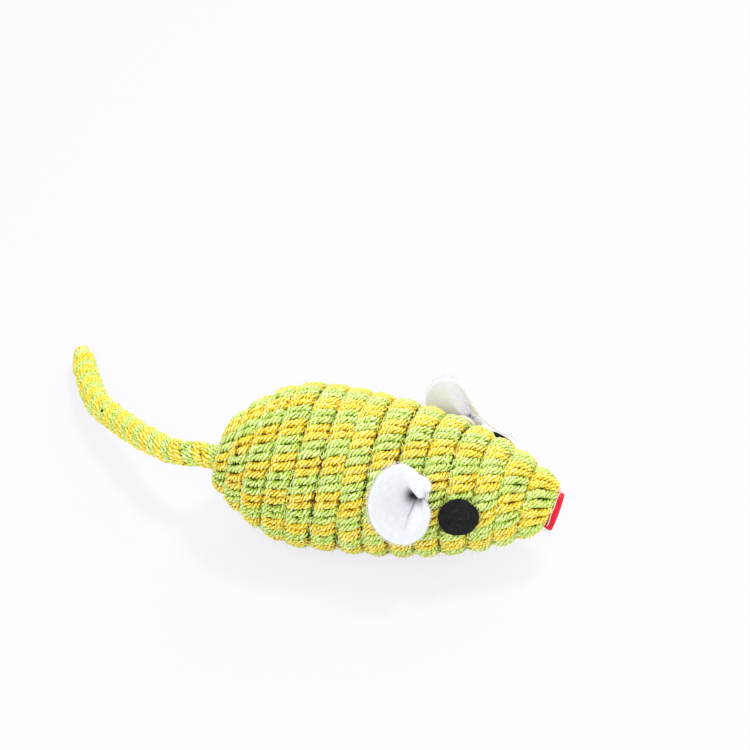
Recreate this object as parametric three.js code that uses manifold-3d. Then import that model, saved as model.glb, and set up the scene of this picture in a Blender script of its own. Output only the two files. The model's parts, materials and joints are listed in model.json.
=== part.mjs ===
// A mouse cat toy: one length of rope wound round a shaped foam body, whose free end is the tail,
// with felt ears, eyes and nose held on by dabs of glue.
// Millimetres, +X towards the nose, +Y the mouse's left, +Z up. It lies on its belly on z = 0.
import * as THREE from "three";
import { mergeVertices } from "three/addons/utils/BufferGeometryUtils.js";
import Module from "manifold-3d";

// Body outline over the rope, from the rear end at x = 0 to the nose end.
const bodyLength = 85;
const bodyRadius = 21;
const fattestAt = 26.6;
const rearRadius = 8.2;
const noseRadius = 6.8;
const rearCurve = 2.1; // powers that shape the rear cap and the long taper
const taperCurve = 1.9;
const tipCurve = 6;
const tipShare = 0.22;
const axisHeight = 20.9; // the axis is arched: highest where the body is fattest
const rearDrop = 1.7;
const noseDrop = 2.2;
const bellyFill = 2; // how much fuller the belly is than a round section
const bellySoftness = 1; // how gently the belly flattens out where it rests
const restDepth = 0.9; // depth of the flats on which the turns rest
const farthestBack = 1.1; // how far past its rear end the outline is carried on, as a share

// Rope and its winding.
const ropeRadius = 2.65;
const turnPitch = 6.2; // from turn to turn along the outline, at most a twentieth out
const turnPhase = 280; // degrees round the body where the first turn starts
const lastTurnShare = 0.8; // of a turn, so that the rope always ends at the same place of the nose
const rearTurnRadius = 6.65;
const noseTurnRadius = 6.2;
const leanBody = 5; // degrees by which the top of a turn leans towards the nose
const leanNose = 17;
const loopSteps = 24;
const ropeSides = 6;
const bendSteps = 9;
const rearBend = 3.7; // handle lengths of the bends that lead the rope to the axis
const noseBend = 3.3;
const rearDive = 0.5; // how far behind the first turn the rope leaves the axis
const noseDive = 2.2; // how far behind the last turn it is back on the axis

// Foam core.
const coreClearance = 0.5;
const coreSides = 24;
const coreStations = 16;

// Tail: the route runs through points chosen along the rope, from its first joint to the tip.
const tailRoute = [
  [-4.6, 0, 19.2],
  [-9.5, 0.8, 18.4],
  [-14.1, 3.5, 16.5],
  [-18.1, 6.6, 15.1],
  [-22, 9.9, 13.7],
  [-25.7, 13.3, 12.3],
  [-29.4, 16.9, 11],
  [-33, 20.5, 9.9],
  [-36.7, 24.1, 8.8],
  [-40.3, 27.8, 7.7],
  [-43.6, 31.7, 6.7],
  [-46.5, 36, 5.8],
  [-49, 40.6, 5.1],
  [-51.3, 45.2, 4.5],
  [-53.7, 49.9, 4.1],
  [-55.9, 54.6, 3.9],
  [-57.9, 59.5, 3.7],
];
const tailRootRadius = 3.25;
const tailMiddleRadius = 3.55;
const tailEndRadius = 3.3;
const tailPoint = 9; // length over which the tip rounds off
const tipRadius = 1;
const tailSides = 12;
const tailStep = 3;
const liftJointAt = 12; // distances along the tail from the swing joint
const curlJointAt = 52;
const jointGap = 0.3;

// Felt, and the glue under it.
const seatGap = 0.3;
const feltThickness = 1.2;
const glueThickness = 0.9;
const glueRadius = 2.6;
const glueSides = 20;

const earAt = 54.3; // where the right ear is pinched and glued down
const earAngle = 26.5; // degrees above the side of the body
const earLength = 14.3;
const earHeight = 15.5;
const earForward = 2.6; // how far the ear reaches in front of its pinch
const earUp = 5.9; // and above it
// Round the ear from its front over the top, in degrees: how far the rim stands off the body,
// how hollow the felt is on the way there, and how much of its reach a dart leaves.
const earShape = [
  { at: -70, lift: 4.2, hollow: 0.7, reach: 1 },
  { at: -5, lift: 2, hollow: 0.8, reach: 1.15 },
  { at: 14, lift: 1.1, hollow: 1, reach: 0.55 },
  { at: 30, lift: 1.2, hollow: 0.6, reach: 1.4 },
  { at: 60, lift: 4.2, hollow: 0.6, reach: 1 },
  { at: 95, lift: 6.3, hollow: 0.9, reach: 1 },
  { at: 130, lift: 5.6, hollow: 1.8, reach: 1 },
  { at: 180, lift: 1.6, hollow: 2, reach: 1 },
  { at: 255, lift: 2.8, hollow: 1.8, reach: 1 },
];
const earRings = 6;
const earSpokes = 32;
const leftForward = 5.5; // the left ear and eye sit this much nearer the nose

const eyeAt = 64.1;
const eyeAngle = 13;
const eyeRadius = 5;
const eyeThickness = 1;
const noseDiscRadius = 4.75;
const noseDiscThickness = 2;
const noseDiscLow = 2.2; // below the body's axis
const noseDiscTilt = 17;
const noseGlueRadius = 1.9;
const noseGlueUp = 1.8; // from the middle of the disc, which hangs low on the last turn
const discSides = 36;
const discEdge = 0.2; // rounding of a cut felt edge

const sampleStep = 0.05; // along the outline
const sampleMargin = 1; // past both its ends
const smallStep = 0.001; // for directions taken from two close points
const mergeWithin = 1e-4;
const curveDivisions = 800;

const yarnRoughness = 0.8;
const feltRoughness = 0.95;
const glueRoughness = 0.35;

const yellow = 0xf4cf3a;
const green = 0xb4dd62;
const white = 0xf4f5f7;
const black = 0x1b1b1c;
const red = 0xd8203c;
const glueColour = 0xe9e7da;
const foam = 0xe8e4d6;

const wasm = await Module();
wasm.setup();
const vec = (x, y, z) => new THREE.Vector3(x, y, z);
const radians = THREE.MathUtils.degToRad;
const clamp = THREE.MathUtils.clamp;

function solidFrom(geometry) {
  const bare = geometry.clone();
  bare.deleteAttribute("normal");
  bare.deleteAttribute("uv");
  const merged = mergeVertices(bare, mergeWithin);
  return new wasm.Manifold(
    new wasm.Mesh({
      numProp: 3,
      vertProperties: new Float32Array(merged.attributes.position.array),
      triVerts: new Uint32Array(merged.index.array),
    }),
  );
}

function geometryFrom(solid) {
  const mesh = solid.getMesh();
  const geometry = new THREE.BufferGeometry();
  geometry.setAttribute("position", new THREE.BufferAttribute(mesh.vertProperties, 3));
  geometry.setIndex(new THREE.BufferAttribute(mesh.triVerts, 1));
  geometry.computeVertexNormals();
  return geometry;
}

// A closed skin through rings of equally many points, with a flat cap at each end.
function loft(rings) {
  const sides = rings[0].length;
  const points = rings.flat();
  const first = points.push(centreOf(rings[0])) - 1;
  const last = points.push(centreOf(rings[rings.length - 1])) - 1;
  const faces = [];
  for (let ring = 0; ring + 1 < rings.length; ring++) {
    for (let side = 0; side < sides; side++) {
      const a = ring * sides + side;
      const b = ring * sides + ((side + 1) % sides);
      faces.push(a, b, a + sides, b, b + sides, a + sides);
    }
  }
  const end = (rings.length - 1) * sides;
  for (let side = 0; side < sides; side++) {
    const next = (side + 1) % sides;
    faces.push(first, next, side, last, end + side, end + next);
  }
  const geometry = new THREE.BufferGeometry().setFromPoints(points);
  geometry.setIndex(faces);
  return geometry;
}

function centreOf(ring) {
  const sum = ring.reduce((total, point) => total.add(point), vec(0, 0, 0));
  return sum.divideScalar(ring.length);
}

// A ring of points round a centre, in the plane of two directions, with a flat side towards the first.
function ringRound(centre, across, along, radius, sides) {
  return Array.from({ length: sides }, (_, side) => {
    const angle = ((side + 0.5) / sides) * 2 * Math.PI;
    return centre
      .clone()
      .addScaledVector(across, radius * Math.cos(angle))
      .addScaledVector(along, radius * Math.sin(angle));
  });
}

// The body's outline over the rope: radius at the sides and top, axis height, and depth of the belly.
function outlineAt(x) {
  const fromRear = clamp(1 - x / fattestAt, 0, farthestBack);
  const toNose = Math.max((x - fattestAt) / (bodyLength - fattestAt), 0);
  const taper = (1 - tipShare) * toNose ** taperCurve + tipShare * toNose ** tipCurve;
  const radius =
    x < fattestAt
      ? bodyRadius - (bodyRadius - rearRadius) * fromRear ** rearCurve
      : bodyRadius - (bodyRadius - noseRadius) * taper;
  const axis = axisHeight - rearDrop * fromRear ** 2 - noseDrop * toNose ** 2;
  const fill = bellyFill * Math.sin(Math.PI * clamp(x / bodyLength, 0, 1));
  const lowest = axis - radius - fill + restDepth;
  const belly = (lowest + Math.hypot(lowest, bellySoftness)) / 2 - restDepth;
  return { radius, axis, depth: axis - belly };
}

// A point of the rope's outer surface; the angle climbs from the mouse's right side over the top.
function surfaceAt(x, angle) {
  const { radius, axis, depth } = outlineAt(x);
  const up = Math.sin(angle);
  return vec(x, -radius * Math.cos(angle), axis + (up > 0 ? radius : depth) * up);
}

function normalAt(x, angle) {
  const along = surfaceAt(x + smallStep, angle).sub(surfaceAt(x - smallStep, angle));
  const around = surfaceAt(x, angle + smallStep).sub(surfaceAt(x, angle - smallStep));
  return along.cross(around).normalize();
}

// Samples of the outline, with the rope's centreline and the core's skin under each,
// and the length run so far.
const ropeFlat = ropeRadius * Math.cos(Math.PI / ropeSides);
const coreDepth = 2 * ropeFlat + coreClearance;
const outlineSamples = [];
for (let x = -sampleMargin; x <= bodyLength + sampleMargin; x += sampleStep) {
  const rise = outlineAt(x + sampleStep).radius - outlineAt(x - sampleStep).radius;
  const slope = rise / (2 * sampleStep);
  const stretch = Math.hypot(1, slope);
  const { radius } = outlineAt(x);
  const centreX = x + (ropeFlat * slope) / stretch;
  const centreRadius = radius - ropeFlat / stretch;
  const coreX = x + (coreDepth * slope) / stretch;
  const coreRadius = radius - coreDepth / stretch;
  const before = outlineSamples[outlineSamples.length - 1];
  const run = before
    ? before.run + Math.hypot(centreX - before.centreX, centreRadius - before.centreRadius)
    : 0;
  outlineSamples.push({ x, centreX, centreRadius, run, coreX, coreRadius });
}

// Reads one column of the samples where another passes a value.
function lookUp(samples, key, value, want) {
  const passed = samples.findIndex(
    (sample, index) => index > 0 && (sample[key] - value) * (samples[index - 1][key] - value) <= 0,
  );
  const index = passed < 1 ? samples.length - 1 : passed;
  const a = samples[index - 1];
  const b = samples[index];
  return THREE.MathUtils.mapLinear(value, a[key], b[key], a[want], b[want]);
}

const rearSamples = outlineSamples.filter((sample) => sample.x < fattestAt);
const noseSamples = outlineSamples.filter((sample) => sample.x > fattestAt);
const runAtRear = lookUp(rearSamples, "centreRadius", rearTurnRadius, "run");
const runAtNose = lookUp(noseSamples, "centreRadius", noseTurnRadius, "run");
const wholeTurns = Math.round((runAtNose - runAtRear) / turnPitch - lastTurnShare);
const turns = wholeTurns + lastTurnShare;
const fittedPitch = (runAtNose - runAtRear) / turns;

// The rope's centreline on the body after so many turns, with the body's normal there.
function ropeAt(turn) {
  const angle = radians(turnPhase) + turn * 2 * Math.PI;
  const run = runAtRear + turn * fittedPitch;
  const base = lookUp(outlineSamples, "run", run, "x");
  const radius = lookUp(outlineSamples, "run", run, "centreRadius");
  const toNose = clamp((base - fattestAt) / (bodyLength - fattestAt), 0, 1);
  const lean = radians(leanBody + (leanNose - leanBody) * toNose ** tipCurve);
  const x = base + radius * Math.sin(angle) * Math.tan(lean);
  const normal = normalAt(x, angle);
  return { point: surfaceAt(x, angle).addScaledVector(normal, -ropeFlat), normal };
}

function headingAt(turn) {
  return ropeAt(turn + smallStep).point.sub(ropeAt(turn - smallStep).point).normalize();
}

// Carries a normal along a path without twist.
function carryNormals(points, startNormal) {
  let normal = startNormal.clone();
  return points.map((_, index) => {
    normal = squareTo(normal, headingAlong(points, index));
    return normal;
  });
}

// The direction of a path at one of its points.
function headingAlong(points, index) {
  const before = points[Math.max(index - 1, 0)];
  const after = points[Math.min(index + 1, points.length - 1)];
  return after.clone().sub(before).normalize();
}

function squareTo(direction, heading) {
  return direction.clone().addScaledVector(heading, -direction.dot(heading)).normalize();
}

// A cubic bend from one point and heading to another, ending before its last point.
function bend(from, fromHeading, to, toHeading, handle) {
  const curve = new THREE.CubicBezierCurve3(
    from,
    from.clone().addScaledVector(fromHeading, handle),
    to.clone().addScaledVector(toHeading, -handle),
    to,
  );
  return curve.getSpacedPoints(bendSteps).slice(0, -1);
}

const swingJoint = vec(...tailRoute[0]);
const forward = vec(1, 0, 0);
const backward = vec(-1, 0, 0);

// The whole way of the rope on the body: in from the tail along the axis, out to the first turn,
// round the body to the nose, and back to the axis against the core's front.
function layRope() {
  const count = Math.ceil(turns * loopSteps);
  const loops = Array.from({ length: count + 1 }, (_, step) => ropeAt((step / count) * turns));
  const first = loops[0];
  const last = loops[count];
  const exit = vec(first.point.x - rearDive, 0, outlineAt(0).axis);
  const inner = vec(last.point.x - noseDive, 0, outlineAt(bodyLength).axis);
  const end = inner.clone().addScaledVector(backward, 2 * ropeRadius);
  const rear = [
    swingJoint,
    swingJoint.clone().lerp(exit, 0.5),
    ...bend(exit, forward, first.point, headingAt(0), rearBend),
  ];
  const nose = [
    ...bend(last.point, headingAt(turns), inner, backward, noseBend).slice(1),
    inner,
    end,
  ];
  const rearNormals = carryNormals([...rear].reverse(), first.normal).reverse();
  const noseNormals = carryNormals(nose, last.normal);
  const toTail = (index) => Math.max(1 - index / rear.length, 0);
  const points = [...rear, ...loops.map((entry) => entry.point), ...nose];
  const normals = [...rearNormals, ...loops.map((entry) => entry.normal), ...noseNormals];
  const radii = points.map((_, index) =>
    THREE.MathUtils.lerp(ropeRadius, tailRootRadius, toTail(index)),
  );
  return { points, normals, radii, coreFrom: Math.max(...rear.map((point) => point.x)), end };
}

const rope = layRope();
const ropeRings = rope.points.map((point, index) => {
  const heading = index === 0 ? forward : headingAlong(rope.points, index);
  const across = squareTo(rope.normals[index], heading);
  const along = heading.clone().cross(across);
  return ringRound(point, across, along, rope.radii[index], ropeSides);
});

function buildWinding() {
  reportLeastGap(rope.points, ropeRings);
  const floor = new THREE.BoxGeometry(4 * bodyLength, 4 * bodyRadius, bodyRadius);
  floor.translate(0, 0, -bodyRadius / 2);
  const bowl = jointBall(swingJoint, tailRootRadius + jointGap);
  return solidFrom(loft(ropeRings)).subtract(solidFrom(floor)).subtract(bowl);
}

// The least distance between points on two stretches of the rope's skin that aren't neighbours along it.
function reportLeastGap(points, rings) {
  const runs = [0];
  points.slice(1).forEach((point, index) => runs.push(runs[index] + point.distanceTo(points[index])));
  const skin = rings.map((ring) =>
    ring.flatMap((point, side) => {
      const next = ring[(side + 1) % ropeSides];
      return [point, point.clone().lerp(next, 0.5)];
    }),
  );
  const near = 5 * ropeRadius;
  let least = Infinity;
  for (let i = 0; i < points.length; i++) {
    for (let j = i + 1; j < points.length; j++) {
      const neighbours = runs[j] - runs[i] < near;
      if (neighbours || points[i].distanceTo(points[j]) > near) continue;
      for (const a of skin[i]) {
        for (const b of skin[j]) least = Math.min(least, a.distanceTo(b));
      }
    }
  }
  console.log(`${turns.toFixed(2)} turns, least gap of the rope to itself ${least.toFixed(2)} mm`);
}

function jointBall(centre, radius) {
  const around = 2 * tailSides;
  const ball = new THREE.SphereGeometry(radius, around, around / 2);
  ball.translate(centre.x, centre.y, centre.z);
  return solidFrom(ball);
}

function buildCore() {
  const rearFace = rope.coreFrom + ropeRadius + coreClearance;
  const frontFace = rope.end.x - seatGap;
  const rings = [];
  for (let station = 0; station <= coreStations; station++) {
    const x = rearFace + ((frontFace - rearFace) * station) / coreStations;
    const radius = lookUp(outlineSamples, "coreX", x, "coreRadius");
    const { axis, depth, radius: outer } = outlineAt(x);
    rings.push(
      Array.from({ length: coreSides }, (_, side) => {
        const angle = (-side / coreSides) * 2 * Math.PI;
        const up = Math.sin(angle);
        const reach = up > 0 ? radius : radius + depth - outer;
        return vec(x, radius * Math.cos(angle), axis + reach * up);
      }).reverse(),
    );
  }
  return solidFrom(loft(rings));
}

const tailPoints = tailRoute.map((point) => vec(...point));
const tailCurve = new THREE.CatmullRomCurve3(tailPoints, false, "centripetal");
tailCurve.arcLengthDivisions = curveDivisions;
const tailLength = tailCurve.getLength();

function tailRadiusAt(run) {
  const middle = tailLength / 2;
  const swell =
    run < middle
      ? THREE.MathUtils.lerp(tailRootRadius, tailMiddleRadius, run / middle)
      : THREE.MathUtils.lerp(tailMiddleRadius, tailEndRadius, (run - middle) / middle);
  const toTip = clamp(1 - (tailLength - run) / tailPoint, 0, 1);
  return tipRadius + (swell - tipRadius) * Math.sqrt(1 - toTip ** 2);
}

// One stretch of the tail. Its root end is a ball in the bowl that the stretch before it ends in.
function buildTailLink(from, to) {
  const steps = Math.max(2, Math.round((to - from) / tailStep));
  const points = [];
  const runs = [];
  for (let step = 0; step <= steps; step++) {
    runs.push(from + ((to - from) * step) / steps);
    points.push(tailCurve.getPointAt(Math.min(runs[step] / tailLength, 1)));
  }
  const normals = carryNormals(points, vec(0, 0, 1));
  const rings = points.map((point, index) => {
    const heading = tailCurve.getTangentAt(Math.min(runs[index] / tailLength, 1));
    const along = heading.clone().cross(normals[index]).normalize();
    return ringRound(point, normals[index], along, tailRadiusAt(runs[index]), tailSides);
  });
  let link = solidFrom(loft(rings)).add(jointBall(points[0], tailRadiusAt(from)));
  if (to < tailLength) link = link.subtract(jointBall(points[steps], tailRadiusAt(to) + jointGap));
  return link;
}

// The pinch of an ear, on the right (-1) or left (+1) side.
function pinchAt(side) {
  return { x: earAt + (side > 0 ? leftForward : 0), angle: radians(earAngle) };
}

// The ear's shape in one direction, read between the listed ones.
function earShapeAt(degrees) {
  const next = earShape.findIndex((entry) => entry.at > degrees);
  const b = next < 0 ? { ...earShape[0], at: earShape[0].at + 360 } : earShape[next];
  const a = earShape[next < 0 ? earShape.length - 1 : next - 1];
  const share = THREE.MathUtils.smoothstep(degrees, a.at, b.at);
  const between = (key) => THREE.MathUtils.lerp(a[key], b[key], share);
  return { lift: between("lift"), hollow: between("hollow"), reach: between("reach") };
}

// A point of the felt, from its pinch (share 0) to its rim (share 1), raised off the body.
function earPoint(side, share, degrees, raise) {
  const pinch = pinchAt(side);
  const shape = earShapeAt(degrees);
  const toRim = share * shape.reach;
  const ahead = earForward - earLength / 2 + (earLength / 2) * Math.cos(radians(degrees));
  const above = earUp - earHeight / 2 + (earHeight / 2) * Math.sin(radians(degrees));
  const x = pinch.x + toRim * ahead;
  const angle = pinch.angle + (toRim * above) / outlineAt(pinch.x).radius;
  const lift = 2 * seatGap + glueThickness + shape.lift * share ** shape.hollow + raise;
  const point = surfaceAt(x, angle).addScaledVector(normalAt(x, angle), lift);
  return vec(point.x, -side * point.y, point.z);
}

function buildEar(side) {
  const layers = [0, feltThickness].map((raise) => {
    const rings = [];
    for (let ring = 1; ring <= earRings; ring++) {
      rings.push(
        Array.from({ length: earSpokes }, (_, spoke) =>
          earPoint(side, ring / earRings, earShape[0].at + (360 * spoke) / earSpokes, raise),
        ),
      );
    }
    return { middle: earPoint(side, 0, 0, raise), rings };
  });
  const points = layers.flatMap((layer) => [layer.middle, ...layer.rings.flat()]);
  const layerSize = 1 + earRings * earSpokes;
  const faces = [];
  const push = (a, b, c, flip) => (flip ? faces.push(a, c, b) : faces.push(a, b, c));
  for (let spoke = 0; spoke < earSpokes; spoke++) {
    const next = (spoke + 1) % earSpokes;
    for (let layer = 0; layer < 2; layer++) {
      const start = layer * layerSize;
      const flip = (layer === 0) === side < 0;
      push(start, start + 1 + spoke, start + 1 + next, flip);
      for (let ring = 0; ring + 1 < earRings; ring++) {
        const a = start + 1 + ring * earSpokes + spoke;
        const b = start + 1 + ring * earSpokes + next;
        push(a, a + earSpokes, b + earSpokes, flip);
        push(a, b + earSpokes, b, flip);
      }
    }
    const rim = 1 + (earRings - 1) * earSpokes;
    push(rim + spoke, rim + layerSize + spoke, rim + next, side < 0);
    push(rim + next, rim + layerSize + spoke, rim + layerSize + next, side < 0);
  }
  const geometry = new THREE.BufferGeometry().setFromPoints(points);
  geometry.setIndex(faces);
  return solidFrom(geometry);
}

// A round disc with a softened edge, its underside at height 0.
function discGeometry(radius, thickness, sides, edge) {
  const profile = [
    [0, 0],
    [radius - edge, 0],
    [radius, edge],
    [radius, thickness - edge],
    [radius - edge, thickness],
    [0, thickness],
  ];
  const disc = new THREE.LatheGeometry(profile.map((point) => new THREE.Vector2(...point)), sides);
  return disc.rotateX(Math.PI / 2);
}

const toy = new THREE.Group();
const tailGroup = new THREE.Group();
const feltGroup = new THREE.Group();
const glueGroup = new THREE.Group();
toy.add(tailGroup, feltGroup, glueGroup);

function addPart(group, name, geometry, colour, roughness) {
  const material = new THREE.MeshStandardMaterial({ color: colour, roughness, metalness: 0 });
  const mesh = new THREE.Mesh(geometry, material);
  mesh.name = name;
  group.add(mesh);
  return mesh;
}

// Lays a disc on the body at a place on its surface, raised along the normal.
function seatDisc(mesh, x, angle, side, raise) {
  const normal = normalAt(x, angle);
  const point = surfaceAt(x, angle).addScaledVector(normal, raise);
  const mirror = side < 0 ? 1 : -1;
  mesh.position.set(point.x, mirror * point.y, point.z);
  mesh.quaternion.setFromUnitVectors(vec(0, 0, 1), vec(normal.x, mirror * normal.y, normal.z));
}

addPart(toy, "body_core", geometryFrom(buildCore()), foam, feltRoughness);
addPart(toy, "body_winding", geometryFrom(buildWinding()), yellow, yarnRoughness);

const tailLinks = [
  ["tail_base", 0, liftJointAt, green],
  ["tail_middle", liftJointAt, curlJointAt, yellow],
  ["tail_tip", curlJointAt, tailLength, green],
];
for (const [name, from, to, colour] of tailLinks) {
  addPart(tailGroup, name, geometryFrom(buildTailLink(from, to)), colour, yarnRoughness);
}

for (const [word, side] of [["right", -1], ["left", 1]]) {
  const pinch = pinchAt(side);
  const eyeX = eyeAt + (side > 0 ? leftForward : 0);
  const eyeSeat = radians(eyeAngle);
  const dab = discGeometry(glueRadius, glueThickness, glueSides, discEdge);
  const eye = discGeometry(eyeRadius, eyeThickness, discSides, discEdge);
  addPart(feltGroup, `ear_${word}`, geometryFrom(buildEar(side)), white, feltRoughness);
  const earDab = addPart(glueGroup, `ear_glue_${word}`, dab, glueColour, glueRoughness);
  const eyeDab = addPart(glueGroup, `eye_glue_${word}`, dab, glueColour, glueRoughness);
  const eyeDisc = addPart(feltGroup, `eye_${word}`, eye, black, feltRoughness);
  seatDisc(earDab, pinch.x, pinch.angle, side, seatGap);
  seatDisc(eyeDab, eyeX, eyeSeat, side, seatGap);
  seatDisc(eyeDisc, eyeX, eyeSeat, side, 2 * seatGap + glueThickness);
}

// The nose lies on the front of the last turn; its glue fills the hole in that turn.
const noseTilt = radians(noseDiscTilt);
const noseNormal = vec(Math.cos(noseTilt), 0, -Math.sin(noseTilt));
const ropeFront = Math.max(...ropeRings.flat().map((point) => point.dot(noseNormal)));
const noseHeight = outlineAt(bodyLength).axis - noseDiscLow;
const noseBack = ropeFront + seatGap;
const noseAt = (noseBack + noseHeight * Math.sin(noseTilt)) / Math.cos(noseTilt);
const noseFace = new THREE.Group();
noseFace.position.set(noseAt, 0, noseHeight);
noseFace.rotation.y = Math.PI / 2 + noseTilt;
toy.add(noseFace);
const noseDisc = discGeometry(noseDiscRadius, noseDiscThickness, discSides, discEdge);
addPart(noseFace, "nose", noseDisc, red, feltRoughness);
const noseDab = discGeometry(noseGlueRadius, glueThickness, glueSides, discEdge);
const noseGlue = addPart(noseFace, "nose_glue", noseDab, glueColour, glueRoughness);
noseGlue.position.set(-noseGlueUp, 0, -seatGap - glueThickness);

// The origin is on the floor under the middle of the toy without its tail.
tailGroup.removeFromParent();
toy.updateMatrixWorld(true);
const bounds = new THREE.Box3().setFromObject(toy, true);
toy.add(tailGroup);
toy.position.set(-(bounds.min.x + bounds.max.x) / 2, -(bounds.min.y + bounds.max.y) / 2, 0);

export default toy;
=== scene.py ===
import bisect
import json
import random
import bpy
import bmesh
from math import copysign, cos, exp, hypot, pi, radians, sin, sqrt, tan
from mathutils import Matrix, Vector, noise
from mathutils.geometry import interpolate_bezier


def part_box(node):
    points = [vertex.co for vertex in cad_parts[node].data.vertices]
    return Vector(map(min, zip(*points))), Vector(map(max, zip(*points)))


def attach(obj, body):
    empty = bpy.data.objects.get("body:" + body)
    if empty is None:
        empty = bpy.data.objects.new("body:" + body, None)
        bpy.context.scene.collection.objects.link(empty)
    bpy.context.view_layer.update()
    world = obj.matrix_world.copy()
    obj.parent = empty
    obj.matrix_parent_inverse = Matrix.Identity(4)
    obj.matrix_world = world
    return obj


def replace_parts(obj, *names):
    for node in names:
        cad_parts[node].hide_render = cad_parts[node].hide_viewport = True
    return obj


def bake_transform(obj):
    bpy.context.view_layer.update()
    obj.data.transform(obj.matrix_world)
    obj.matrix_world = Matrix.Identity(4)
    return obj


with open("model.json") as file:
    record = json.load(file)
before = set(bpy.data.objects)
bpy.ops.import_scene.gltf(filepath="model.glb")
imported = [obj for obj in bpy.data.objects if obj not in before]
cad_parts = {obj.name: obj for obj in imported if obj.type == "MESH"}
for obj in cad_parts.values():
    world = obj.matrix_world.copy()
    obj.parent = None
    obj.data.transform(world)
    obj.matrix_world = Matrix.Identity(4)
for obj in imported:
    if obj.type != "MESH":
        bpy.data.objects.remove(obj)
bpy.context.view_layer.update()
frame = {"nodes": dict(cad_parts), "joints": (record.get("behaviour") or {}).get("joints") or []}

mm = 0.001

# Camera, at the photograph's angle.
camera = {
    "place": (0.08784, -0.41547, 0.34865),
    "looks": (-0.17311, 0.80065, -0.57358),
    "lens": 102.91,
    "sensor": 36,
}


def buildCamera():
    print("camera")
    data = bpy.data.cameras.new("camera")
    data.lens = camera["lens"]
    data.sensor_width = camera["sensor"]
    data.clip_start = 0.01
    data.clip_end = 20
    obj = bpy.data.objects.new("camera", data)
    obj.location = camera["place"]
    obj.rotation_euler = Vector(camera["looks"]).to_track_quat("-Z", "Y").to_euler()
    bpy.context.scene.collection.objects.link(obj)
    bpy.context.scene.camera = obj


buildCamera()

# Body outline over the rope, in mm from the rear end of the body along +X, as in the part's source.
body = {
    "length": 85,
    "radius": 21,
    "fattestAt": 26.6,
    "rearRadius": 8.2,
    "noseRadius": 6.8,
    "rearCurve": 2.1,
    "taperCurve": 1.9,
    "tipCurve": 6,
    "tipShare": 0.22,
    "axisHeight": 20.9,
    "rearDrop": 1.7,
    "noseDrop": 2.2,
    "bellyFill": 2,
    "bellySoftness": 1,
    "restDepth": 0.9,
    "farthestBack": 1.1,
}

# The rope's way round the body. Flat is how deep its middle lies in the part's solid.
rope = {
    "flat": 2.295,
    "pitch": 6.2,
    "phase": 280,
    "lastTurnShare": 0.8,
    "rearTurnRadius": 6.65,
    "noseTurnRadius": 6.2,
    "leans": (5, 0.8),  # degrees by which the top of a turn leans towards the nose, at the rear and on
    "leanFrom": (4.8, 6.2),
    "forward": ((1.5, 4.5, 1.1), (6, 12, 1.0), (13.05, 13.35, 1.1), (13.5, 13.8, -3.8)),  # turns that shift
    "rearBend": 3.7,
    "noseBend": 3.3,
    "rearDive": 0.5,
    "noseDive": 2.2,
    "halfWidth": (3.25, 3.65),  # its least and its most
    "spread": 1.07,  # between them, its share of the room beside its neighbours
    "halfHeight": 2.72,
    "endWiden": (12.95, 13.3, 0.9),  # turns over which the last one spreads, and how far
    "boxiness": (3.2, 2.4),  # 2 is a round rope, more is a rope pressed square between its turns
    "boxyOver": (3, 7),  # turns over which that changes
    "outerShare": 0.4,  # how much of each turn of a yarn lies on the outer half of the rope
    "sway": 0.13,  # how unevenly the turns lie side by side
    "swayWaves": ((2.4, 0.7, 1), (7.1, 2, 0.6), (13.7, 0, 0.4)),  # rates, starts and sizes
    "changeOver": 4,  # mm before and after the first turn, in which the tail becomes the winding
    "tailDepth": 0.96,  # how deep a yarn lies in the tail, as a share of its radius
    "floorDepth": 0.95,  # and over the floor, off which it is eased over some mm
    "floorSoftness": 0.35,
    "step": 0.12,
}

# The yarns that the rope is wrapped with: two yellow ones, then two green ones.
yarn = {
    "radius": 1.1,
    "section": (0.98, 1, 0.62),  # of one ply, as shares of the radius: its crown, then the valley after it
    "plies": 5,
    "twist": 6,  # mm for one turn of the plies
    "lead": 8.3,  # mm of rope for one turn of the yarns
    "tailLead": 6.9,
    "tailStarts": (0, 0.28, 0.55, 0.775),  # shares of a turn at which the yarns lie on the tail
    "tailThicks": (1.1, 1.1, 0.9, 0.9),
    "phases": (  # how far on the yarns' turn is, at these turns of the rope
        (0.34, 0.32), (1.34, 0.9), (2.33, 0.46), (3.33, 0.16), (4.33, 0.22), (5.33, 0.06), (6.32, 0.09),
        (7.32, 0.6), (8.32, 0.2), (9.32, 0), (10.32, 0.9), (11.32, 0.78), (12.32, 0.21), (13.46, 0.08),
    ),
    "wander": (0.22, 1.7),  # mm by which a yarn strays, and over what distance
    "seed": 1,  # of that, or the clock would choose it
    "uneven": (0.15, 0.9),  # by what share its thickness changes, and over what distance
    "swell": (0.04, 0.9),  # the same in even waves, and how fast they follow
    "hidden": -0.25,  # heights on the rope are -1 to 1, and few points are kept under this one
    "keepEvery": 5,
    "offFloor": 1.08,  # its least height, as a share of its radius
    "valley": 0.36,  # how light the painted shade of the valleys between the plies is
    "shadeEdge": 0.6,  # how gradually a yarn turns into its own painted shade
    "lightFrom": (-0.1, 0.5),  # heights on the rope between which the yarns come out of their painted shade
    "deepFrom": (0.55, 0.1),  # and go into the painted shade where two turns meet
    "deep": (0.15, 0.8),  # how dark that is, at the ends of the body and in its middle
    "deepShadeTurns": ((3, 4), (11.5, 9)),  # turns over which the middle starts and ends
    "tailSoft": (-8, 50, 0.35),  # mm along the tail over which the painted shade softens, and how much
    "noseSoft": (12.3, 12.9, 0.2),  # and turns over which it does at the nose
    # How light the cut ends are painted.
    "endLight": 0.7,
}

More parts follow.
